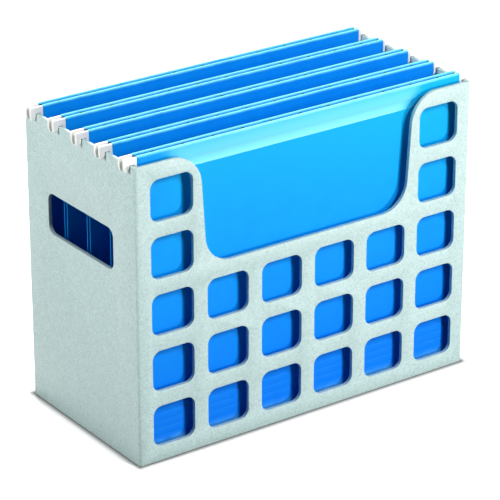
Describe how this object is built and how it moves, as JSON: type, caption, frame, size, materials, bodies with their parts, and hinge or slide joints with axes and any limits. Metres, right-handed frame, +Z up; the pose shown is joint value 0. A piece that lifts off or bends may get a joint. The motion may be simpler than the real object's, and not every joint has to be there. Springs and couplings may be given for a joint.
{
  "type": "desktop hanging file box",
  "caption": "Open desktop file box with a window-grid front, a low scoop and hand holes, holding letter-size hanging folders on its side walls.",
  "frame": {"origin": "middle of the underside of the box", "axes": "+X along the width, +Z up, the windowed front wall faces -Y"},
  "size_m": [0.321, 0.152, 0.247],
  "materials": {
    "speckled_plastic": "moulded polystyrene with a fine grey-green speckle",
    "folder_card": "blue card, slightly smooth",
    "rod_steel": "cold-rolled flat strip",
    "hook_plastic": "white moulded plastic"
  },
  "bodies": {
    "box": {"box_body": "speckled_plastic"},
    "folder_1_front": {"folder_1_front_leaf": "folder_card", "folder_1_front_rod": "rod_steel", "folder_1_front_hooks": "hook_plastic"},
    "folder_1_back": {"folder_1_back_leaf": "folder_card", "folder_1_back_rod": "rod_steel", "folder_1_back_hooks": "hook_plastic"},
    "folder_2_front": {"folder_2_front_leaf": "folder_card", "folder_2_front_rod": "rod_steel", "folder_2_front_hooks": "hook_plastic"},
    "folder_2_back": {"folder_2_back_leaf": "folder_card", "folder_2_back_rod": "rod_steel", "folder_2_back_hooks": "hook_plastic"},
    "folder_3_front": {"folder_3_front_leaf": "folder_card", "folder_3_front_rod": "rod_steel", "folder_3_front_hooks": "hook_plastic"},
    "folder_3_back": {"folder_3_back_leaf": "folder_card", "folder_3_back_rod": "rod_steel", "folder_3_back_hooks": "hook_plastic"},
    "folder_4_front": {"folder_4_front_leaf": "folder_card", "folder_4_front_rod": "rod_steel", "folder_4_front_hooks": "hook_plastic"},
    "folder_4_back": {"folder_4_back_leaf": "folder_card", "folder_4_back_rod": "rod_steel", "folder_4_back_hooks": "hook_plastic"},
    "folder_5_front": {"folder_5_front_leaf": "folder_card", "folder_5_front_rod": "rod_steel", "folder_5_front_hooks": "hook_plastic"},
    "folder_5_back": {"folder_5_back_leaf": "folder_card", "folder_5_back_rod": "rod_steel", "folder_5_back_hooks": "hook_plastic"}
  },
  "joints": [
    {"name": "folder_1_lift", "type": "slide", "parent": "box", "child": "folder_1_front", "axis": [0, 0, 1], "range_m": [0, 0.25]},
    {"name": "folder_1_open", "type": "hinge", "parent": "folder_1_front", "child": "folder_1_back", "pos_m": [0, -0.0654, 0.00725], "axis": [-1, 0, 0], "range_deg": [0, 2.1]},
    {"name": "folder_2_lift", "type": "slide", "parent": "box", "child": "folder_2_front", "axis": [0, 0, 1], "range_m": [0, 0.25]},
    {"name": "folder_2_open", "type": "hinge", "parent": "folder_2_front", "child": "folder_2_back", "pos_m": [0, -0.0335, 0.00725], "axis": [-1, 0, 0], "range_deg": [0, 2.1]},
    {"name": "folder_3_lift", "type": "slide", "parent": "box", "child": "folder_3_front", "axis": [0, 0, 1], "range_m": [0, 0.25]},
    {"name": "folder_3_open", "type": "hinge", "parent": "folder_3_front", "child": "folder_3_back", "pos_m": [0, -0.0016, 0.00725], "axis": [-1, 0, 0], "range_deg": [0, 2.1]},
    {"name": "folder_4_lift", "type": "slide", "parent": "box", "child": "folder_4_front", "axis": [0, 0, 1], "range_m": [0, 0.25]},
    {"name": "folder_4_open", "type": "hinge", "parent": "folder_4_front", "child": "folder_4_back", "pos_m": [0, 0.0303, 0.00725], "axis": [-1, 0, 0], "range_deg": [0, 2.1]},
    {"name": "folder_5_lift", "type": "slide", "parent": "box", "child": "folder_5_front", "axis": [0, 0, 1], "range_m": [0, 0.25]},
    {"name": "folder_5_open", "type": "hinge", "parent": "folder_5_front", "child": "folder_5_back", "pos_m": [0, 0.0622, 0.00725], "axis": [-1, 0, 0], "range_deg": [0, 1.4]}
  ]
}
